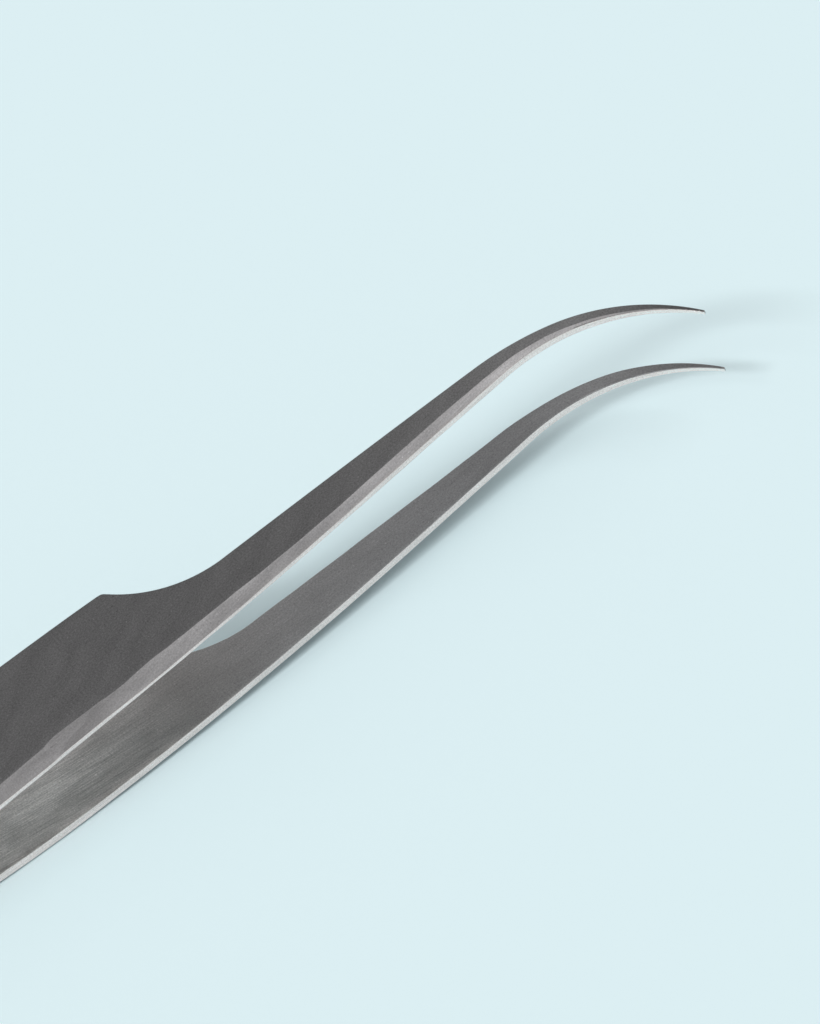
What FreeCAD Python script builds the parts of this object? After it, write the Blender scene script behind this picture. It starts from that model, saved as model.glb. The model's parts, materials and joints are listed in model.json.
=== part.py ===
import FreeCAD, Part
import Sketcher
import os

# Curved-tip precision tweezers, millimetres.  They are drawn about their mid-plane (z = 0 between
# the two arms), heel end at x = 0, tips towards +X and bent towards -Y.  At the end every piece is
# tilted and moved so that the tweezers lie on the plane z = 0 as they do on a bench: on the lower
# arm's heel edge and belly, with the tips a few millimetres up.

V = FreeCAD.Vector
doc = FreeCAD.newDocument("tweezers")

# ---------------------------------------------------------------- driving dimensions
dims = doc.addObject("Spreadsheet::Sheet", "dims")
DIMENSIONS = [
    # heel
    ("spacer_thickness", 1.6), ("weld_length", 13.0), ("heel_half_width", 3.4),
    ("heel_corner", 2.2), ("weld_mark_radius", 0.9), ("weld_mark_depth", 0.08),
    ("weld_mark_front", 9.0), ("weld_mark_rear", 4.5),
    # arms seen from the side
    ("rear_thickness", 1.2), ("arm_thickness", 1.1), ("tip_thickness", 0.42),
    ("splay_angle", 6.0615), ("bend_out_radius", 110.0), ("bend_back_radius", 150.0),
    ("bow_start", 58.0), ("bow_centre", 86.0), ("bow_half_gap", 4.83), ("bow_radius", 1100.0),
    ("thinning_start", 100.0), ("thinning_radius", 230.9), ("flex_line", 29.0),
    # arms seen from above
    ("body_half_width", 5.1), ("body_widest", 47.0), ("flank_radius", 740.0),
    ("front_flank_radius", 400.0), ("shoulder", 67.1), ("shoulder_half_width", 4.6),
    ("notch_radius", 12.2), ("notch_end", 76.5), ("front_edge", 0.18),
    ("curve_start", 102.63), ("outer_radius_rear", 28.8), ("outer_mid_drop", 0.804),
    ("outer_mid", 109.39), ("outer_radius_front", 17.69),
    ("tip_outer", 120.05), ("tip_outer_drop", 8.13),
    ("taper_radius", 462.0), ("taper_angle", 5.29), ("taper_end", 103.98),
    ("inner_radius_rear", 20.7), ("inner_mid", 108.63), ("inner_mid_drop", 1.884),
    ("inner_radius_front", 17.42), ("tip_inner", 119.9), ("tip_inner_drop", 8.26),
    # ground bevel on each outer face, along the concave edge
    ("bevel_width", 1.0), ("upper_bevel_depth", 0.5), ("lower_bevel_depth", 0.2),
    ("rear_bevel_line", 3.75),
    ("front_bevel_angle", 2.87), ("front_bevel_line", 7.13), ("front_bevel_start", 59.8),
    ("front_bevel_end", 103.5),
]
for row, (name, value) in enumerate(DIMENSIONS, start=1):
    dims.set("A%d" % row, name)
    dims.set("B%d" % row, str(value))
    dims.setAlias("B%d" % row, name)
doc.recompute()


def size(name):
    return float(dims.get(name))


# ---------------------------------------------------------------- points written as expressions
def d(name):
    return "dims." + name


SPLAY = d("splay_angle")
BETA = "asin((dims.bow_centre - dims.bow_start) / dims.bow_radius)"
GAMMA = "asin((dims.thinning_start - dims.bow_centre) / dims.bow_radius)"
GAP0 = "(dims.spacer_thickness / 2)"
# inner face: weld end, end of the bend outwards, start of the bend back, start of the bow
BEND_X = "(dims.weld_length + dims.bend_out_radius * sin(%s))" % SPLAY
BEND_Z = "(%s + dims.bend_out_radius * (1 - cos(%s)))" % (GAP0, SPLAY)
BOW_Z = "(dims.bow_half_gap - dims.bow_radius * (1 - cos(%s)))" % BETA
BACK_X = "(dims.bow_start - dims.bend_back_radius * (sin(%s) - sin(%s)))" % (SPLAY, BETA)
BACK_Z = "(%s - dims.bend_back_radius * (cos(%s) - cos(%s)))" % (BOW_Z, BETA, SPLAY)
FLEX_Z = "(%s + (dims.flex_line - %s) * tan(%s))" % (BEND_Z, BEND_X, SPLAY)
THIN_Z = "(dims.bow_half_gap - dims.bow_radius * (1 - cos(%s)))" % GAMMA
TIP_Z = ("(dims.bow_half_gap - dims.bow_radius"
         " * (1 - cos(asin((dims.tip_outer - dims.bow_centre) / dims.bow_radius))))")
# outer face: the same stations, one thickness further out
RX = "dims.rear_thickness * sin(%s)" % SPLAY
RZ = "dims.rear_thickness * cos(%s)" % SPLAY
HEEL_OUT = "(%s + dims.rear_thickness)" % GAP0
ROOT_PROFILE = [
    ("0", GAP0, None), (d("weld_length"), GAP0, ("dims.bend_out_radius", 1)),
    (BEND_X, BEND_Z, None), (d("flex_line"), FLEX_Z, None),
    (d("flex_line"), "(%s + dims.rear_thickness / cos(%s))" % (FLEX_Z, SPLAY), None),
    ("(%s - %s)" % (BEND_X, RX), "(%s + %s)" % (BEND_Z, RZ),
     ("dims.bend_out_radius - dims.rear_thickness", -1)),
    (d("weld_length"), HEEL_OUT, None), ("0", HEEL_OUT, None)]
BACK_OUT = ("(%s - %s)" % (BACK_X, RX), "(%s + %s)" % (BACK_Z, RZ))
BOW_OUT = (d("bow_start"), "(%s + dims.arm_thickness)" % BOW_Z)
THIN_OUT = (d("thinning_start"), "(%s + dims.arm_thickness)" % THIN_Z)
TIP_OUT = (d("tip_outer"), "(%s + dims.tip_thickness)" % TIP_Z)
BLADE_PROFILE = [
    (d("flex_line"), FLEX_Z, None), (BACK_X, BACK_Z, ("dims.bend_back_radius", -1)),
    (d("bow_start"), BOW_Z, ("dims.bow_radius", -1)), (d("tip_outer"), TIP_Z, None),
    TIP_OUT + (("dims.thinning_radius", 1),), THIN_OUT + (("dims.bow_radius", 1),),
    BOW_OUT + (("dims.bend_back_radius + dims.arm_thickness", 1),), BACK_OUT + (None,),
    (d("flex_line"), "(%s + dims.rear_thickness / cos(%s))" % (FLEX_Z, SPLAY), None)]

# outline seen from above, anticlockwise from the heel's concave-side corner
TAPER_X = "(dims.body_widest + dims.taper_radius * sin(dims.taper_angle))"
TAPER_Y = "(dims.taper_radius * (1 - cos(dims.taper_angle)) - dims.body_half_width)"
TAPER_END_Y = "(%s + (dims.taper_end - %s) * tan(dims.taper_angle))" % (TAPER_Y, TAPER_X)
W, HW, HC = d("body_half_width"), d("heel_half_width"), d("heel_corner")
PLAN = [
    ("0", "-(%s - %s)" % (HW, HC), (HC, 1)), (HC, "-" + HW, ("dims.flank_radius", 1)),
    (d("body_widest"), "-" + W, ("dims.taper_radius", 1)),
    (TAPER_X, TAPER_Y, None), (d("taper_end"), TAPER_END_Y, ("dims.inner_radius_rear", -1)),
    (d("inner_mid"), "-dims.inner_mid_drop", ("dims.inner_radius_front", -1)),
    (d("tip_inner"), "-dims.tip_inner_drop", None),
    (d("tip_outer"), "-dims.tip_outer_drop", ("dims.outer_radius_front", 1)),
    (d("outer_mid"), "dims.front_edge - dims.outer_mid_drop", ("dims.outer_radius_rear", 1)),
    (d("curve_start"), d("front_edge"), None),
    (d("notch_end"), d("front_edge"), ("dims.notch_radius", -1)),
    (d("shoulder"), d("shoulder_half_width"), ("dims.front_flank_radius", 1)),
    (d("body_widest"), W, ("dims.flank_radius", 1)),
    (HC, HW, (HC, 1)), ("0", "%s - %s" % (HW, HC), None)]
HEEL_PLAN = [
    ("0", "-(%s - %s)" % (HW, HC), (HC, 1)), (HC, "-" + HW, None),
    (d("weld_length"), "-" + HW, None), (d("weld_length"), HW, None),
    (HC, HW, (HC, 1)), ("0", "%s - %s" % (HW, HC), None)]
FRAME = [("-5", "-15", None), ("130", "-15", None), ("130", "15", None), ("-5", "15", None)]


# ---------------------------------------------------------------- sketches
def value(expression):
    got = dims.evalExpression(expression.replace("dims.", ""))
    return float(getattr(got, "Value", got))


def mirrored(points):
    """The same outline on the other side of the mid-plane."""
    return [(x, "-(%s)" % y, arc and (arc[0], -arc[1])) for x, y, arc in points]


def origin_plane(body, role):
    return [f for f in body.Origin.OriginFeatures if f.Role == role][0]


def new_sketch(body, name, role):
    sketch = body.newObject("Sketcher::SketchObject", name)
    sketch.AttachmentSupport = [(origin_plane(body, role), "")]
    sketch.MapMode = "FlatFace"
    return sketch


def bind(sketch, constraint, expression):
    index = sketch.addConstraint(constraint)
    sketch.setExpression("Constraints[%d]" % index, expression)


def draw(sketch, points):
    """Closed outline.  Each point is (x, y, arc) with arc = (radius, +1 centre to the left of the
    way on, -1 to the right) for the stretch that starts there, or None for a straight one."""
    corner = [V(value(x), value(y), 0) for x, y, _ in points]
    first = sketch.GeometryCount
    count = len(points)
    starts = []
    for i, (_, _, arc) in enumerate(points):
        a, b = corner[i], corner[(i + 1) % count]
        if arc is None:
            sketch.addGeometry(Part.LineSegment(a, b))
            starts.append(1)
            continue
        radius, chord = value(arc[0]), b - a
        left = V(-chord.y, chord.x, 0).normalize()
        rise = (radius ** 2 - (chord.Length / 2) ** 2) ** 0.5
        middle = (a + b) * 0.5
        centre = middle + left * (rise * arc[1])
        top = centre - left * (radius * arc[1])
        sketch.addGeometry(Part.Arc(a, top, b))
        starts.append(1 if arc[1] > 0 else 2)
    for i in range(count):
        j = (i + 1) % count
        sketch.addConstraint(
            Sketcher.Constraint("Coincident", first + i, 3 - starts[i], first + j, starts[j]))
    for i, (x, y, arc) in enumerate(points):
        here = (first + i, starts[i])
        bind(sketch, Sketcher.Constraint("DistanceX", *here, corner[i].x), x)
        bind(sketch, Sketcher.Constraint("DistanceY", *here, corner[i].y), y)
        if arc is not None:
            bind(sketch, Sketcher.Constraint("Radius", first + i, value(arc[0])), arc[0])



# ---------------------------------------------------------------- features
def pad_both_ways(body, name, sketch, length):
    pad = body.newObject("PartDesign::Pad", name)
    pad.Profile = sketch
    pad.SideType = "Symmetric"
    pad.setExpression("Length", length)
    return pad


def cut_through(body, name, sketch):
    pocket = body.newObject("PartDesign::Pocket", name)
    pocket.Profile = sketch
    pocket.SideType = "Symmetric"
    pocket.Type = "ThroughAll"
    return pocket


def raised(points, depth):
    """The bevel's sketch stands one bevel width back and one bevel depth out of the outer face."""
    return [(x, "(%s) + dims.%s" % (y, depth), arc) for x, y, arc in points]


def bevel_cut(body, name, sketch, side, depth):
    """Sweeps the space outside the outer face slantwise over the concave edge."""
    pocket = body.newObject("PartDesign::Pocket", name)
    pocket.Profile = sketch
    pocket.UseCustomVector = True
    pocket.AlongSketchNormal = True
    pocket.Direction = V(0, -size("bevel_width"), -side * size(depth))
    pocket.setExpression("Direction.y", "-dims.bevel_width")
    pocket.setExpression("Direction.z", "%d * dims.%s" % (-side, depth))
    pocket.setExpression("Length", "dims.bevel_width * 4")
    return pocket


def cut_or_turn(pocket):
    """Recomputes a cut, and turns it round if it found nothing to remove."""
    before = pocket.BaseFeature.Shape.Volume
    doc.recompute()
    if pocket.Shape.isNull() or pocket.Shape.Volume > before - 1e-6:
        pocket.Reversed = not pocket.Reversed
        doc.recompute()


def arm_piece(label, side, profile, bevel_depth, blade):
    """One arm, from heel to flex line or from flex line to tip.  side is +1 above, -1 below."""
    face = (lambda points: points) if side > 0 else mirrored
    body = doc.addObject("PartDesign::Body", label)
    body.Label = label
    strip = new_sketch(body, label + "_side", "XZ_Plane")
    draw(strip, face(profile))
    doc.recompute()
    pad_both_ways(body, label + "_strip", strip, "5 * dims.body_half_width")
    outline = new_sketch(body, label + "_plan", "XY_Plane")
    draw(outline, FRAME)
    draw(outline, PLAN)
    doc.recompute()
    cut_through(body, label + "_outline", outline)
    doc.recompute()

    out = "((%s) + 8)" % GAP0
    if blade:
        flex_top = (d("flex_line"), "(%s + dims.rear_thickness / cos(%s))" % (FLEX_Z, SPLAY), None)
        rear = [flex_top, BACK_OUT + (("dims.bend_back_radius + dims.arm_thickness", -1),),
                BOW_OUT + (("dims.bow_radius", -1),), THIN_OUT + (None,),
                (d("thinning_start"), out, None), (d("flex_line"), out, None)]
    else:
        rear = [("-5", HEEL_OUT, None), (d("weld_length"), HEEL_OUT,
                                         ("dims.bend_out_radius - dims.rear_thickness", 1)),
                ("(%s - %s)" % (BEND_X, RX), "(%s + %s)" % (BEND_Z, RZ), None),
                (d("flex_line"), "(%s + dims.rear_thickness / cos(%s))" % (FLEX_Z, SPLAY), None),
                (d("flex_line"), out, None), ("-5", out, None)]
    bevel = new_sketch(body, label + "_bevel_face", "XZ_Plane")
    bevel.setExpression("AttachmentOffset.Base.z", "dims.rear_bevel_line - dims.bevel_width")
    draw(bevel, face(raised(rear, bevel_depth)))
    doc.recompute()
    cut_or_turn(bevel_cut(body, label + "_bevel", bevel, side, bevel_depth))

    if blade:
        bow = ("(dims.bow_half_gap + dims.arm_thickness - dims.bow_radius * (1 - cos(asin("
               "(dims.%s - dims.bow_centre) / dims.bow_radius))))")
        front = [(d("front_bevel_start"), bow % "front_bevel_start", ("dims.bow_radius", -1)),
                 (d("front_bevel_end"), bow % "front_bevel_end", None),
                 (d("front_bevel_end"), out, None), (d("front_bevel_start"), out, None)]
        tapered = new_sketch(body, label + "_front_bevel_face", "XZ_Plane")
        tapered.AttachmentOffset = FreeCAD.Placement(
            V(0, 0, size("front_bevel_line") - size("bevel_width")),
            FreeCAD.Rotation(V(0, 1, 0), size("front_bevel_angle")))
        tapered.setExpression("AttachmentOffset.Base.z", "dims.front_bevel_line - dims.bevel_width")
        tapered.setExpression("AttachmentOffset.Rotation.Angle", "dims.front_bevel_angle * 1 deg")
        draw(tapered, face(raised(front, bevel_depth)))
        doc.recompute()
        cut_or_turn(bevel_cut(body, label + "_front_bevel", tapered, side, bevel_depth))
    else:
        marks = new_sketch(body, label + "_weld_places", "XY_Plane")
        marks.setExpression("AttachmentOffset.Base.z", "%d * %s" % (side, HEEL_OUT))
        for place in ("weld_mark_rear", "weld_mark_front"):
            g = marks.addGeometry(
                Part.Circle(V(size(place), 0, 0), V(0, 0, 1), size("weld_mark_radius")))
            marks.addConstraint(Sketcher.Constraint("PointOnObject", g, 3, -1))
            bind(marks, Sketcher.Constraint("DistanceX", g, 3, size(place)), d(place))
            bind(marks, Sketcher.Constraint("Radius", g, size("weld_mark_radius")),
                 d("weld_mark_radius"))
        doc.recompute()
        dents = body.newObject("PartDesign::Pocket", label + "_weld_marks")
        dents.Profile = marks
        dents.Reversed = side < 0
        dents.setExpression("Length", "dims.weld_mark_depth")
        cut_or_turn(dents)
    return body


upper_root = arm_piece("upper_arm_root", 1, ROOT_PROFILE, "upper_bevel_depth", False)
upper_blade = arm_piece("upper_arm_blade", 1, BLADE_PROFILE, "upper_bevel_depth", True)
lower_root = arm_piece("lower_arm_root", -1, ROOT_PROFILE, "lower_bevel_depth", False)
lower_blade = arm_piece("lower_arm_blade", -1, BLADE_PROFILE, "lower_bevel_depth", True)

# the spacer follows the heel outline, so it is cut from it up to the end of the weld
spacer = doc.addObject("PartDesign::Body", "heel_spacer")
spacer.Label = "heel_spacer"
block = new_sketch(spacer, "spacer_plan", "XY_Plane")
draw(block, HEEL_PLAN)
doc.recompute()
pad_both_ways(spacer, "spacer_block", block, "dims.spacer_thickness")
doc.recompute()
pieces = [upper_root, upper_blade, lower_root, lower_blade, spacer]


# ---------------------------------------------------------------- lie the tweezers down
def lowest(body, angle):
    turned = body.Shape.copy()
    turned.rotate(V(0, 0, 0), V(0, 1, 0), -angle)
    return turned.optimalBoundingBox().ZMin


low, high = 0.0, 8.0
for _ in range(40):
    tilt = (low + high) / 2
    if lowest(lower_root, tilt) > lowest(lower_blade, tilt):
        low = tilt
    else:
        high = tilt
lying = Part.Compound([p.Shape for p in pieces])
lying.rotate(V(0, 0, 0), V(0, 1, 0), -tilt)
box = lying.optimalBoundingBox()
REST = [("rest_tilt", tilt), ("rest_x", -(box.XMin + box.XMax) / 2),
        ("rest_y", -(box.YMin + box.YMax) / 2), ("rest_z", -box.ZMin)]
for row, (name, number) in enumerate(REST, start=len(DIMENSIONS) + 1):
    dims.set("A%d" % row, name)
    dims.set("B%d" % row, "%.6f" % number)
    dims.setAlias("B%d" % row, name)
doc.recompute()
for piece in pieces:
    piece.Placement = FreeCAD.Placement(
        V(0, 0, 0), FreeCAD.Rotation(V(0, -1, 0), size("rest_tilt")))
    piece.setExpression("Placement.Rotation.Angle", "dims.rest_tilt * 1 deg")
    for axis in "xyz":
        piece.setExpression("Placement.Base." + axis, "dims.rest_" + axis)
doc.recompute()

# ---------------------------------------------------------------- check and export
for thing in doc.Objects:
    if "Invalid" in thing.State or "Error" in thing.State:
        raise RuntimeError("%s: %s" % (thing.Name, thing.State))
os.makedirs("parts", exist_ok=True)
for piece in pieces:
    shape = piece.Shape
    if shape.isNull() or not shape.isValid() or len(shape.Solids) != 1:
        raise RuntimeError("%s: bad shape" % piece.Label)
    shape.exportStep("parts/%s.step" % piece.Label)
    b = shape.optimalBoundingBox()
    print("%-16s %8.2f mm3  x %.2f..%.2f  y %.2f..%.2f  z %.3f..%.3f" % (
        piece.Label, shape.Volume, b.XMin, b.XMax, b.YMin, b.YMax, b.ZMin, b.ZMax))
place = pieces[0].Placement
pivot = place.multVec(V(size("flex_line"), 0, value(FLEX_Z)))
under = place.multVec(V(size("flex_line"), 0, -value(FLEX_Z)))
print("tilt %.4f deg, flex lines at %s and %s" % (size("rest_tilt"), pivot, under))
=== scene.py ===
import json
from math import atan2, cos, hypot, pi, radians, sin, sqrt, tan

import bmesh
import bpy
import numpy as np
from mathutils import Matrix, Vector


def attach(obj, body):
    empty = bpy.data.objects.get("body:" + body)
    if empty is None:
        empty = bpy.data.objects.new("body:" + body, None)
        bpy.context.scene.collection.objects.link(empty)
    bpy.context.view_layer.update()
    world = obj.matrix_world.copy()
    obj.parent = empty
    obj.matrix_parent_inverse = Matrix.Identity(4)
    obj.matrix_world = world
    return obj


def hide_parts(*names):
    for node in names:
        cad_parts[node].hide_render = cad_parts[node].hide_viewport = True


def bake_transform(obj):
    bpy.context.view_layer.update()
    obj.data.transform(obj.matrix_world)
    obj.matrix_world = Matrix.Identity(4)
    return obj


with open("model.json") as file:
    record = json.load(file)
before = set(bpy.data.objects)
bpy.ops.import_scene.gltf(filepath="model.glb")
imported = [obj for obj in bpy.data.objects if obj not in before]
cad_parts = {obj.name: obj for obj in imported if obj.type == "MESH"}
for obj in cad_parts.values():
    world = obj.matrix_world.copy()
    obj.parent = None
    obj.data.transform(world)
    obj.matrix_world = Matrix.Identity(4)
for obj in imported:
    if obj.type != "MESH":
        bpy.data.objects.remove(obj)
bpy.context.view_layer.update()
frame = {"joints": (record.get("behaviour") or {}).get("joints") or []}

# ---------------------------------------------------------------- where the tweezers lie
# The two flex lines lie one above the other across the mid-plane, 29 mm from the heel end, so
# they give the tilt and the place of the mid-plane in the row frame.
FLEX = 29.0
joints = {j["name"]: Vector(j["pos_m"]) for j in frame["joints"]}
up_axis = (joints["upper_arm_flex"] - joints["lower_arm_flex"]).normalized()
along_axis = Vector((up_axis.z, 0, -up_axis.x))
middle = (joints["upper_arm_flex"] + joints["lower_arm_flex"]) / 2


def place(x, y, z):
    """Mid-plane millimetres (x from the heel, y across, z off the mid-plane) to row metres."""
    return middle + along_axis * ((x - FLEX) / 1000) + up_axis * (z / 1000) + Vector((0, y / 1000, 0))


# ---------------------------------------------------------------- the shape, as in the CAD
HALF_HEEL, HEEL_CORNER = 3.4, 2.2
HALF_BODY, WIDEST = 5.099, 47.0
SHOULDER, HALF_SHOULDER = 67.1, 4.6
NOTCH_END, NOTCH_R, FRONT_Y = 76.5, 12.2, 0.18
TAPER_R, TAPER = 462.0, radians(5.29)
CORNER_WEAR = 0.2


def bulge(x, start, end, radius):
    """Height at x of the arc of this radius that bulges upwards from start to end."""
    (x0, y0), (x1, y1) = start, end
    chord = hypot(x1 - x0, y1 - y0)
    rise = sqrt(radius ** 2 - (chord / 2) ** 2)
    cx = (x0 + x1) / 2 + (y1 - y0) / chord * rise
    cy = (y0 + y1) / 2 - (x1 - x0) / chord * rise
    return cy + sqrt(max(0.0, radius ** 2 - (x - cx) ** 2))


def rear_flank(x):
    """Half width from the heel's corner to the widest place."""
    if x < HEEL_CORNER:
        return HALF_HEEL - HEEL_CORNER + sqrt(HEEL_CORNER ** 2 - (HEEL_CORNER - x) ** 2)
    return bulge(x, (HEEL_CORNER, HALF_HEEL), (WIDEST, HALF_BODY), 740.0)


def convex_side(x):
    if x <= WIDEST:
        return rear_flank(x)
    if x >= NOTCH_END:
        return FRONT_Y
    flank = bulge(x, (WIDEST, HALF_BODY), (SHOULDER, HALF_SHOULDER), 400.0)
    notch = FRONT_Y + NOTCH_R - sqrt(max(0.0, NOTCH_R ** 2 - (x - NOTCH_END) ** 2))
    return (flank + notch - sqrt((flank - notch) ** 2 + CORNER_WEAR ** 2)) / 2


def concave_side(x):
    if x <= WIDEST:
        return -rear_flank(x)
    bend = WIDEST + TAPER_R * sin(TAPER)
    if x < bend:
        return -HALF_BODY + TAPER_R - sqrt(TAPER_R ** 2 - (x - WIDEST) ** 2)
    return -HALF_BODY + TAPER_R * (1 - cos(TAPER)) + (x - bend) * tan(TAPER)


def arc_points(start, end, radius, count):
    """Clockwise arc from start to end, evenly spaced, without its first point."""
    (x0, y0), (x1, y1) = start, end
    chord = hypot(x1 - x0, y1 - y0)
    rise = sqrt(radius ** 2 - chord ** 2 / 4)
    cx = (x0 + x1) / 2 + (y1 - y0) / chord * rise
    cy = (y0 + y1) / 2 - (x1 - x0) / chord * rise
    a0, a1 = atan2(y0 - cy, x0 - cx), atan2(y1 - cy, x1 - cx)
    return [(cx + radius * cos(a0 + (a1 - a0) * i / count),
             cy + radius * sin(a0 + (a1 - a0) * i / count)) for i in range(1, count + 1)]


def stations():
    """Pairs of plan points, (concave side, convex side), from the heel to the tip."""
    xs = [HEEL_CORNER * (1 - cos(pi / 2 * i / 10)) for i in range(10)]
    for start, end, step in ((HEEL_CORNER, 13, 0.3), (13, 47, 0.8), (47, 65.8, 0.45),
                             (65.8, 68.4, 0.1), (68.4, 78, 0.25), (78, 102.6, 0.5)):
        xs += list(np.linspace(start, end, round((end - start) / step), endpoint=False))
    rows = [((x, concave_side(x)), (x, convex_side(x))) for x in xs]
    convex = [(102.63, FRONT_Y)]
    convex += arc_points(convex[-1], (109.39, -0.624), 28.8, 24)
    convex += arc_points(convex[-1], (120.05, -8.13), 17.69, 44)
    concave = [(102.63, concave_side(102.63)), (103.98, concave_side(103.98))]
    concave += arc_points(concave[-1], (108.63, -1.884), 20.7, 20)
    concave += arc_points(concave[-1], (119.9, -8.26), 17.42, 44)

    def even(points, n):
        p = np.array(points)
        run = np.r_[0, np.cumsum(np.hypot(*np.diff(p, axis=0).T))]
        t = np.linspace(0, run[-1], n)
        return list(zip(np.interp(t, run, p[:, 0]), np.interp(t, run, p[:, 1])))

    rows += list(zip(even(concave, 64), even(convex, 64)))
    return rows


# Side view of one arm: the gap it starts from, the weld's end, the bend outwards, the straight,
# the bend back into the bow, and the thinning of the tip.
HALF_GAP, WELD_END = 0.8, 13
SPLAY = radians(6.0615)
REAR_BEND, FRONT_BEND = 110.0, 150.0
BOW, BOW_START, BOW_TOP, BOW_HEIGHT = 1100.0, 58, 86, 4.83
BETA = (BOW_TOP - BOW_START) / BOW
REAR_THICK, FRONT_THICK = 1.2, 1.1
THINNING, THINNING_R = 100, 230.9


def inner_z(x):
    """Half the gap between the arms."""
    bend = WELD_END + REAR_BEND * sin(SPLAY)
    if x <= WELD_END:
        return HALF_GAP
    if x < bend:
        return HALF_GAP + REAR_BEND - sqrt(REAR_BEND ** 2 - (x - WELD_END) ** 2)
    beta = np.arcsin(BETA)
    start = BOW_HEIGHT - BOW * (1 - cos(beta))
    back = BOW_START - FRONT_BEND * (sin(SPLAY) - sin(beta))
    if x < back:
        return HALF_GAP + REAR_BEND * (1 - cos(SPLAY)) + (x - bend) * tan(SPLAY)
    if x < BOW_START:
        cx, cz = BOW_START + FRONT_BEND * sin(beta), start - FRONT_BEND * cos(beta)
        return cz + sqrt(FRONT_BEND ** 2 - (x - cx) ** 2)
    return BOW_HEIGHT - BOW + sqrt(BOW ** 2 - (x - BOW_TOP) ** 2)


def blade_thickness(x):
    """Measured square to the mid-plane."""
    sloped = REAR_THICK / cos(SPLAY)
    if x < WELD_END:
        return REAR_THICK
    if x < 46:
        return REAR_THICK / cos(SPLAY * min(1.0, (x - WELD_END) / 11.6))
    if x < BOW_START:
        return sloped + (FRONT_THICK - sloped) * (x - 46) / 12
    if x < THINNING:
        return FRONT_THICK
    slope = (BOW_TOP - THINNING) / BOW
    flat = BOW_HEIGHT - BOW * (1 - cos(np.arcsin(slope))) + FRONT_THICK
    run = x - THINNING
    outer = flat + slope * run - (THINNING_R - sqrt(THINNING_R ** 2 - run ** 2))
    return outer - inner_z(x)


# Hand-ground bevel on the upper arm: place, width, depth, softness of its ridge.
UPPER_BEVEL = [
    (0, 0.02, 0.01, 0.3), (4, 0.3, 0.06, 0.3), (12, 0.8, 0.28, 0.25), (25, 1.1, 0.5, 0.2),
    (40, 1.25, 0.6, 0.2), (49, 1.2, 0.5, 0.3), (51.5, 1.25, 0.6, 0.12), (54.8, 1.3, 0.64, 0.1),
    (56.4, 1.6, 0.5, 0.5), (60.6, 1.45, 0.48, 0.5), (62.2, 1.25, 0.56, 0.15),
    (63.8, 1.2, 0.62, 0.08), (64.6, 1.27, 0.72, 0.06), (66.5, 1.32, 0.74, 0.06),
    (68.5, 1.22, 0.71, 0.08), (70.5, 1.16, 0.68, 0.05), (74.5, 1.06, 0.63, 0.05),
    (78.5, 0.9, 0.56, 0.06), (82.5, 0.8, 0.52, 0.05), (86.5, 0.75, 0.5, 0.05),
    (90.5, 0.8, 0.38, 0.06), (94.5, 0.8, 0.4, 0.05), (98.5, 0.8, 0.36, 0.05),
    (101.5, 0.74, 0.28, 0.06), (104.5, 0.65, 0.22, 0.06), (108.5, 0.48, 0.15, 0.06),
    (112, 0.3, 0.1, 0.1), (116, 0.16, 0.06, 0.1), (120, 0.05, 0.02, 0.1)]
LOWER_BEVEL = [
    (0, 0.02, 0.01, 0.3), (4, 0.25, 0.05, 0.3), (14, 0.7, 0.14, 0.2), (30, 1.0, 0.2, 0.1),
    (46, 1.05, 0.22, 0.15), (53, 1.2, 0.17, 0.2), (58, 1.0, 0.2, 0.08), (66, 1.1, 0.19, 0.1),
    (75, 0.95, 0.21, 0.06), (84, 0.8, 0.18, 0.06), (95, 0.75, 0.17, 0.06),
    (104, 0.55, 0.14, 0.08), (112, 0.28, 0.08, 0.1), (120, 0.05, 0.02, 0.1)]


def eased(table, x):
    """Each column of the table at x, eased between its rows."""
    rows = np.array(table)
    i = int(np.clip(np.searchsorted(rows[:, 0], x) - 1, 0, len(rows) - 2))
    t = np.clip((x - rows[i, 0]) / (rows[i + 1, 0] - rows[i, 0]), 0, 1)
    t = t * t * (3 - 2 * t)
    return rows[i, 1:] * (1 - t) + rows[i + 1, 1:] * t


def drop(e, width, depth, soft):
    """How far the bevel lies under the outer face, e millimetres in from the concave edge."""
    q = 1 - e / width
    full = (sqrt(1 + soft * soft) + 1) / 2
    return depth * (sqrt(q * q + soft * soft) + q) / 2 / full


def dent(x, y):
    """Spot-weld marks on the heel's outer faces."""
    radius, depth = 0.9, 0.08
    deep = 0.0
    for cx in (4.5, 9.0):
        r = hypot(x - cx, y) / radius
        if r < 1:
            deep = max(deep, depth * (1 - r * r) ** 0.7)
    return deep


INNER, CONVEX, OUTER, BEVEL, LAND = range(5)
ACROSS_OUT, ACROSS_IN = 34, 14
SKIN = 0.006  # the skin lies this far inside the CAD's outer face


def edge_wear(x, side):
    """Radius worn on the inner edges.  Hand work leaves it uneven, and more so behind the notch."""
    uneven = 0.035 * sin(0.9 * x) * sin(0.37 * x + 1)
    behind = float(np.clip((74 - x) / 8, 0, 1))
    return 0.08 + uneven + (0.06 * behind if side > 0 else 0.0)


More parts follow.
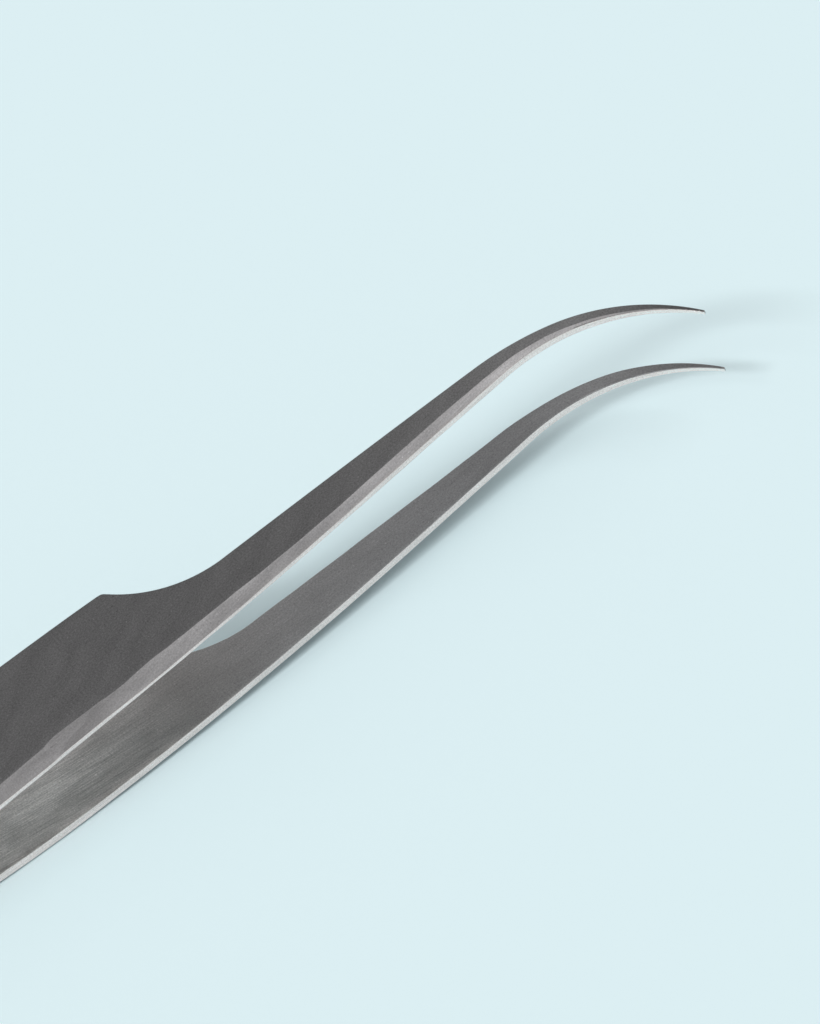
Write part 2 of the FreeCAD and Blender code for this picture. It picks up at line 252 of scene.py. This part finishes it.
def ring(width, t, bevel, wear):
    """Section as (e, z, region of the stretch that follows), anticlockwise from the inner face."""
    bw, bd, soft = bevel
    bw, bd = min(bw, 0.45 * width), min(bd, 0.6 * t)
    r = min(wear, 0.2 * width, 0.2 * t)
    r_out = min(0.11, 0.22 * width, 0.25 * t)
    r_land = min(0.05, 0.2 * width, 0.15 * (t - bd))
    points = []
    for i in range(4):
        a = pi / 2 * i / 3
        points.append((r - r * cos(a), r - r * sin(a), LAND if i < 1 else INNER))
    for i in range(1, ACROSS_IN):
        points.append((r + (width - 2 * r) * i / ACROSS_IN, 0.0, INNER))
    for i in range(4):
        a = pi / 2 * i / 3
        points.append((width - r + r * sin(a), r - r * cos(a), INNER if i < 2 else CONVEX))
    for i in (1, 2):
        points.append((width, r + (t - r - r_out) * i / 3, CONVEX))
    for i in range(5):
        a = pi / 2 * i / 4
        points.append((width - r_out + r_out * cos(a), t - r_out + r_out * sin(a),
                       CONVEX if i < 2 else OUTER))
    far, near = width - r_out, bw * 1.35
    for i in range(1, ACROSS_OUT + 1):
        e = far + (near - far) * i / ACROSS_OUT
        points.append((e, t - drop(e, bw, bd, soft), OUTER))
    for q in (1.18, 1.06, 1.0, 0.94, 0.82, 0.6, 0.35, 0.15):
        e = bw * q
        points.append((e, t - drop(e, bw, bd, soft), OUTER if q > 1.0 else BEVEL))
    e = r_land
    edge = t - drop(e, bw, bd, soft)
    for i in range(3):
        a = pi / 2 * i / 3
        points.append((e * (1 - sin(a)), edge - r_land * (1 - cos(a)), BEVEL if i < 1 else LAND))
    low = edge - r_land
    for i in range(4):
        points.append((0.0, low + (r - low) * i / 4, LAND))
    return points


def build_arm(name, side, bevel_table):
    """One whole arm as a closed skin; side is +1 for the upper arm and -1 for the lower."""
    rows, rings, regions, lengths = stations(), [], None, []
    run = 0.0
    last = None
    for k, (b, t) in enumerate(rows):
        width = hypot(t[0] - b[0], t[1] - b[1])
        mid = ((b[0] + t[0]) / 2, (b[1] + t[1]) / 2)
        if last:
            run += hypot(mid[0] - last[0], mid[1] - last[1])
        last = mid
        thick = blade_thickness(mid[0]) - SKIN
        section = ring(width, thick, eased(bevel_table, mid[0]), edge_wear(mid[0], side))
        points = []
        for e, z, _ in section:
            f = e / width
            x, y = b[0] + (t[0] - b[0]) * f, b[1] + (t[1] - b[1]) * f
            thick = blade_thickness(x)
            z = z * thick / blade_thickness(mid[0])
            if z > 0.6 * thick and x < 12:
                z -= dent(x, y)
            points.append((x, y, inner_z(x) + z, run, e))
        rings.append(points)
        regions = [s[2] for s in section]
        lengths.append(run)

    def shrunk(points, inset):
        p = np.array(points)
        c = p[:, :3].mean(0)
        q = p.copy()
        size = np.maximum(np.abs(p[:, :3] - c).max(0), 1e-6)
        scale = 1 - np.minimum(inset / size, 0.6)
        q[:, :3] = c + (p[:, :3] - c) * scale
        return [tuple(v) for v in q]

    # The heel's edge and the tip's edge are broken by these small amounts.
    heel_break, tip_break = 0.06, 0.03
    rings[0] = shrunk(rings[0], heel_break)
    rings.insert(1, [(p[0] + 0.05,) + tuple(p[1:]) for p in
                     shrunk([(0.0,) + tuple(q[1:]) for q in rings[0]], -heel_break)])
    back = tip_break * cos(radians(-54)), tip_break * sin(radians(-54))
    end = rings[-1]
    rings[-1] = [(p[0] - back[0], p[1] - back[1]) + tuple(p[2:]) for p in end]
    rings.append(shrunk(end, tip_break))

    mesh = bmesh.new()
    uv = mesh.loops.layers.uv.new("length_across")
    n = len(rings[0])
    verts = [[mesh.verts.new(place(x, y, side * z)) for x, y, z, _, _ in r] for r in rings]
    for k in range(len(rings) - 1):
        for i in range(n):
            j = (i + 1) % n
            quad = [(k, i), (k, j), (k + 1, j), (k + 1, i)]
            if side < 0:
                quad.reverse()
            face = mesh.faces.new([verts[a][c] for a, c in quad])
            face.material_index = regions[i]
            face.smooth = True
            for loop, (a, c) in zip(face.loops, quad):
                across = rings[a][c][4] if regions[i] in (INNER, OUTER, BEVEL) else rings[a][c][2]
                loop[uv].uv = (rings[a][c][3] / 10, across / 10)
    for k, flip in ((0, side < 0), (len(rings) - 1, side > 0)):
        order = list(range(n))
        if not flip:
            order.reverse()
        face = mesh.faces.new([verts[k][i] for i in order])
        face.material_index = OUTER if k else LAND
        for loop, i in zip(face.loops, order):
            loop[uv].uv = (rings[k][i][1] / 10, rings[k][i][2] / 10)
    bmesh.ops.recalc_face_normals(mesh, faces=mesh.faces)
    data = bpy.data.meshes.new(name)
    mesh.to_mesh(data)
    mesh.free()
    obj = bpy.data.objects.new(name, data)
    bpy.context.scene.collection.objects.link(obj)
    return obj


def build_spacer():
    """The block between the arms at the heel, its corners broken so that both seams show."""
    half, x1, r = HALF_GAP, WELD_END, 0.07
    steps = 12
    outline = [(x1, -HALF_HEEL), (x1, HALF_HEEL)]
    for i in range(steps + 1):
        a = pi / 2 * i / steps
        outline.append((HEEL_CORNER - HEEL_CORNER * sin(a), HALF_HEEL - HEEL_CORNER * (1 - cos(a))))
    for i in range(steps, -1, -1):
        a = pi / 2 * i / steps
        outline.append((HEEL_CORNER - HEEL_CORNER * sin(a), -HALF_HEEL + HEEL_CORNER * (1 - cos(a))))
    outline = [p for i, p in enumerate(outline) if p != outline[i - 1]]
    cx, cy = 6.5, 0.0
    layers = []
    for z, inset in ((-half, r), (-half + r * 0.3, r * 0.3), (-half + r, 0.0), (0, 0.0),
                     (half - r, 0.0), (half - r * 0.3, r * 0.3), (half, r)):
        fx, fy = 1 - inset / 6.5, 1 - inset / HALF_HEEL
        layers.append([(cx + (x - cx) * fx, cy + (y - cy) * fy, z) for x, y in outline])
    mesh = bmesh.new()
    verts = [[mesh.verts.new(place(*p)) for p in layer] for layer in layers]
    n = len(outline)
    for k in range(len(layers) - 1):
        for i in range(n):
            j = (i + 1) % n
            face = mesh.faces.new([verts[k][i], verts[k][j], verts[k + 1][j], verts[k + 1][i]])
            face.smooth = True
    mesh.faces.new(list(reversed(verts[0])))
    mesh.faces.new(verts[-1])
    uv = mesh.loops.layers.uv.new("length_across")
    for face in mesh.faces:
        for loop in face.loops:
            x, y, z = loop.vert.co * 100
            loop[uv].uv = (x + y, z + y)
    bmesh.ops.recalc_face_normals(mesh, faces=mesh.faces)
    for edge in mesh.edges:
        if len(edge.link_faces) == 2 and edge.calc_face_angle(0) > radians(35):
            edge.smooth = False
    data = bpy.data.meshes.new("spacer_block")
    mesh.to_mesh(data)
    mesh.free()
    obj = bpy.data.objects.new("spacer_block", data)
    bpy.context.scene.collection.objects.link(obj)
    return obj


# ---------------------------------------------------------------- materials
ARM_LENGTH, ACROSS = 120.0, 10.0
WHITE = (1.0, 1.0, 1.0)


def shade(colour, amount, warmth=0.0):
    red, green, blue = colour
    return (red * amount * (1 + warmth), green * amount, blue * amount * (1 - warmth))


class Nodes:
    """Short hand for a material's node tree."""

    def __init__(self, name):
        self.material = bpy.data.materials.new(name)
        self.material.use_nodes = True
        self.tree = self.material.node_tree
        self.tree.nodes.clear()
        self.shader = self.add("ShaderNodeBsdfPrincipled")
        out = self.add("ShaderNodeOutputMaterial")
        self.link(self.shader, "BSDF", out, "Surface")

    def add(self, kind, **values):
        node = self.tree.nodes.new(kind)
        for key, val in values.items():
            if hasattr(node, key):
                setattr(node, key, val)
            else:
                node.inputs[key].default_value = val
        return node

    def link(self, a, out, b, into):
        self.tree.links.new(a.outputs[out], b.inputs[into])

    def surface(self, feature, lean=0):
        """Place along and across the steel, so that one unit is a feature (millimetres)."""
        uv = self.add("ShaderNodeUVMap")
        mapping = self.add("ShaderNodeMapping", vector_type="TEXTURE")
        mapping.inputs["Scale"].default_value = (feature[0] / 10, feature[1] / 10, 1)
        mapping.inputs["Rotation"].default_value = (0, 0, radians(lean))
        self.link(uv, "UV", mapping, "Vector")
        return mapping

    def noise(self, mapping, detail=2.0, rough=0.5, distortion=0.0):
        node = self.add("ShaderNodeTexNoise", noise_dimensions="2D")
        node.inputs["Scale"].default_value = 1.0
        node.inputs["Detail"].default_value = detail
        node.inputs["Roughness"].default_value = rough
        node.inputs["Distortion"].default_value = distortion
        self.link(mapping, "Vector", node, "Vector")
        return node

    def ramp(self, node, out, stops):
        ramp = self.add("ShaderNodeValToRGB")
        elements = ramp.color_ramp.elements
        while len(elements) < len(stops):
            elements.new(1.0)
        for element, (position, colour) in zip(elements, stops):
            element.position = position
            element.color = (*colour, 1)
        self.link(node, out, ramp, "Fac")
        return ramp

    def remap(self, node, out, low, high):
        remap = self.add("ShaderNodeMapRange")
        remap.inputs["From Min"].default_value = 0.3
        remap.inputs["From Max"].default_value = 0.7
        remap.inputs["To Min"].default_value = low
        remap.inputs["To Max"].default_value = high
        self.link(node, out, remap, "Value")
        return remap

    def multiply(self, a, b, amount=None):
        mix = self.add("ShaderNodeMix", data_type="RGBA", blend_type="MULTIPLY")
        mix.inputs[0].default_value = 1.0
        if amount:
            self.link(amount, "Color", mix, "Factor")
        self.tree.links.new(a.outputs[2 if a.type == "MIX" else 0], mix.inputs[6])
        self.tree.links.new(b.outputs[0], mix.inputs[7])
        return mix

    def bump(self, node, out, strength, distance, below=None):
        bump = self.add("ShaderNodeBump")
        bump.inputs["Strength"].default_value = strength
        bump.inputs["Distance"].default_value = distance
        self.link(node, out, bump, "Height")
        if below:
            self.link(below, "Normal", bump, "Normal")
        return bump


EVEN = ((0, 1), (1, 1))


def steel(name, tint, rough, grain=0.2, streak=0.1, mottle=0.1, lean=0.0, tone_and_painted_light=EVEN, marked=EVEN,
          across=EVEN):
    """Ground stainless steel.  grain is the fine tooth of the satin, streak the long marks, which
    lean across the arm by that many degrees, and mottle the uneven patches.  From heel (0) to tip
    (1), tone_and_painted_light is the brightness and warmth, the steel's own tone with painted
    light and shade laid in, and marked is how far the marks and patches show.  across is the
    brightness of those marked parts from the concave edge (0) to 10 mm in (1); on the inner faces
    it is painted shade by the concave edge and painted light further in."""
    m = Nodes(name)
    m.shader.inputs["Metallic"].default_value = 1.0
    tooth = m.noise(m.surface((0.17, 0.13)), 3.0, 0.75)
    marks = m.noise(m.surface((5.0, 0.11), lean), 3.0, 0.6)
    patches = m.noise(m.surface((5.0, 1.6), lean), 3.0, 0.6, 0.4)
    specks = m.noise(m.surface((0.3, 0.22)), 1.0, 0.5)
    split = m.add("ShaderNodeSeparateXYZ")
    m.link(m.surface((ARM_LENGTH, ACROSS)), "Vector", split, "Vector")
    # The brightness along the arm is the steel's own tone with painted light and shade laid in.
    base = m.ramp(split, "X", [(at, shade(tint, *look)) for at, *look in tone_and_painted_light])
    shown = m.ramp(split, "X", [(at, shade(WHITE, amount)) for at, amount in marked])
    for source, depth, amount in ((tooth, grain, None), (marks, streak, shown), (patches, mottle, shown)):
        layer = m.ramp(source, "Fac", [(0.3, shade(WHITE, 1 - depth)), (0.7, shade(WHITE, 1 + depth))])
        base = m.multiply(base, layer, amount)
    # The ramp across the face is painted light and shade where it is not even.
    edge = m.ramp(split, "Y", [(at, shade(WHITE, amount)) for at, amount in across])
    base = m.multiply(base, edge, shown)
    base = m.multiply(base, m.ramp(specks, "Fac", [(0.74, WHITE), (0.82, shade(WHITE, 1.3))]))
    base = m.multiply(base, m.ramp(specks, "Fac", [(0.18, shade(WHITE, 0.75)), (0.26, WHITE)]))
    m.tree.links.new(base.outputs[2], m.shader.inputs["Base Color"])
    uneven = m.remap(patches, "Fac", rough - 0.03, rough + 0.03)
    m.link(uneven, "Result", m.shader, "Roughness")
    first = m.bump(marks, "Fac", 0.6 * streak, 0.00002)
    second = m.bump(tooth, "Fac", grain, 0.000015, first)
    m.link(second, "Normal", m.shader, "Normal")
    return m.material


# All five faces are one steel, but their tints are set apart by how light falls on each: the dark outer
# tint is painted shade, the light side tints are painted light, and the warm cast of the side tints is
# painted to cancel the blue of the floor they reflect.
materials = {
    # Inner faces: the bright rear of the brightness table is painted light for the light bounced in under
    # the upper arm, and the last table is painted shade by the concave edge and painted light further in.
    INNER: steel("brushed_inner_painted_light", (0.365, 0.364, 0.371), 0.46, 0.22, 0.22, 0.18, -7,
                 ((0, 1.65, 0.04), (0.47, 1.7, 0.04), (0.57, 1.08, 0.03), (0.65, 1.2, 0.01),
                  (0.78, 1.18), (0.84, 0.97), (0.93, 1.1), (1, 0.7)),
                 ((0, 1), (0.5, 1), (0.56, 0.3), (1, 0.25)),
                 ((0, 0.74), (0.2, 0.86), (0.32, 1.1), (0.45, 1.15), (1, 1.1))),
    CONVEX: steel("ground_convex_side", (0.85, 0.74, 0.71), 0.36, 0.2, 0.12, 0.06, 1),
    OUTER: steel("satin_outer", (0.225, 0.223, 0.225), 0.42, 0.24, 0.03, 0.035, 24,
                 ((0, 0.98), (0.62, 0.98), (0.7, 1.0), (0.85, 1.25), (0.93, 1.5), (1, 0.7))),
    BEVEL: steel("ground_bevel", (0.43, 0.42, 0.425), 0.4, 0.18, 0.06, 0.06, 3,
                 ((0, 0.93), (0.5, 0.93), (0.56, 1.2), (0.8, 1.2), (0.93, 1.5), (1, 0.7))),
    # Concave sides: the brightening toward the tip is a painted highlight for the glints along the tips'
    # edges.
    LAND: steel("ground_concave_side", (0.87, 0.75, 0.72), 0.36, 0.2, 0.12, 0.06, 1,
                ((0, 1), (0.85, 1), (0.95, 1.1)))}

upper = build_arm("upper_arm_steel", 1, UPPER_BEVEL)
lower = build_arm("lower_arm_steel", -1, LOWER_BEVEL)
for obj in (upper, lower):
    for region in range(5):
        obj.data.materials.append(materials[region])
spacer = build_spacer()
spacer.data.materials.append(steel("spacer_steel", (0.40, 0.38, 0.375), 0.45, 0.2, 0.1, 0.1))

for obj, root, blade, body in (
        (upper, "upper_arm_root", "upper_arm_blade", "upper_arm"),
        (lower, "lower_arm_root", "lower_arm_blade", "lower_arm")):
    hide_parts(root, blade)
    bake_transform(obj)
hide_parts("heel_spacer")
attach(spacer, "heel")

# ---------------------------------------------------------------- floor, light, camera
plane = bpy.data.meshes.new("floor")
plane.from_pydata([(-3, -3, 0), (3, -3, 0), (3, 3, 0), (-3, 3, 0)], [], [(0, 1, 2, 3)])
floor = bpy.data.objects.new("floor", plane)
bpy.context.scene.collection.objects.link(floor)
floor_material = bpy.data.materials.new("floor")
floor_material.use_nodes = True
paint = floor_material.node_tree.nodes["Principled BSDF"]
paint.inputs["Base Color"].default_value = (0.79, 0.952, 0.988, 1)
paint.inputs["Roughness"].default_value = 0.9
paint.inputs["Specular IOR Level"].default_value = 0.0
plane.materials.append(floor_material)

AMBIENT, SUNLIGHT = 0.36, 1.715
world = bpy.data.worlds.new("studio")
bpy.context.scene.world = world
world.use_nodes = True
world.node_tree.nodes["Background"].inputs["Color"].default_value = (1.0, 1.0, 1.0, 1)
world.node_tree.nodes["Background"].inputs["Strength"].default_value = AMBIENT

# Soft lamps over the heel and the tips: each one's shadow runs this far in X and Y
# for each unit of height; then its share of the light on the floor and its width in degrees.
LAMPS = {"key": (0.68, 0.30, 0.2, 10), "key_edge": (0.85, 0.15, 0.3, 9),
         "key_end": (0.68, 0.0, 0.1, 10), "tip_end": (-1.0, 0.1, 0.4, 36)}
for name, (dx, dy, share, width) in LAMPS.items():
    light = bpy.data.lights.new(name, "SUN")
    light.energy = SUNLIGHT * share * sqrt(1 + dx * dx + dy * dy)
    light.angle = radians(width)
    lamp = bpy.data.objects.new(name, light)
    bpy.context.scene.collection.objects.link(lamp)
    lamp.rotation_euler = Vector((dx, dy, -1)).to_track_quat("-Z", "Y").to_euler()

# The long-lens camera is given in the mid-plane's own frame, then carried over.
ELEVATION, AZIMUTH, ROLL = radians(57.0), radians(17.801), radians(22.132)
DISTANCE, FOCAL_PX = 900.0, 12.2206 * 900.0
SENSOR, IMAGE_HEIGHT = 24.0, 1024
aim = (91.572, -3.540, 0.0)
right = np.array((cos(AZIMUTH), -sin(AZIMUTH), 0))
ahead = np.array((sin(AZIMUTH) * cos(ELEVATION), cos(AZIMUTH) * cos(ELEVATION), -sin(ELEVATION)))
up = np.cross(right, ahead)
right, up = cos(ROLL) * right - sin(ROLL) * up, sin(ROLL) * right + cos(ROLL) * up


def turned(v):
    return along_axis * float(v[0]) + Vector((0, float(v[1]), 0)) + up_axis * float(v[2])


data = bpy.data.cameras.new("camera")
camera = bpy.data.objects.new("camera", data)
bpy.context.scene.collection.objects.link(camera)
axes = Matrix((turned(right), turned(up), -turned(ahead))).transposed()
eye = place(*(np.array(aim) - DISTANCE * ahead))
camera.matrix_world = Matrix.Translation(eye) @ axes.to_4x4()
data.sensor_fit = "VERTICAL"
data.sensor_height = SENSOR
data.lens = FOCAL_PX / IMAGE_HEIGHT * SENSOR
data.clip_start = 0.05
data.clip_end = 20.0
bpy.context.scene.camera = camera
bpy.context.scene.view_settings.view_transform = "Standard"
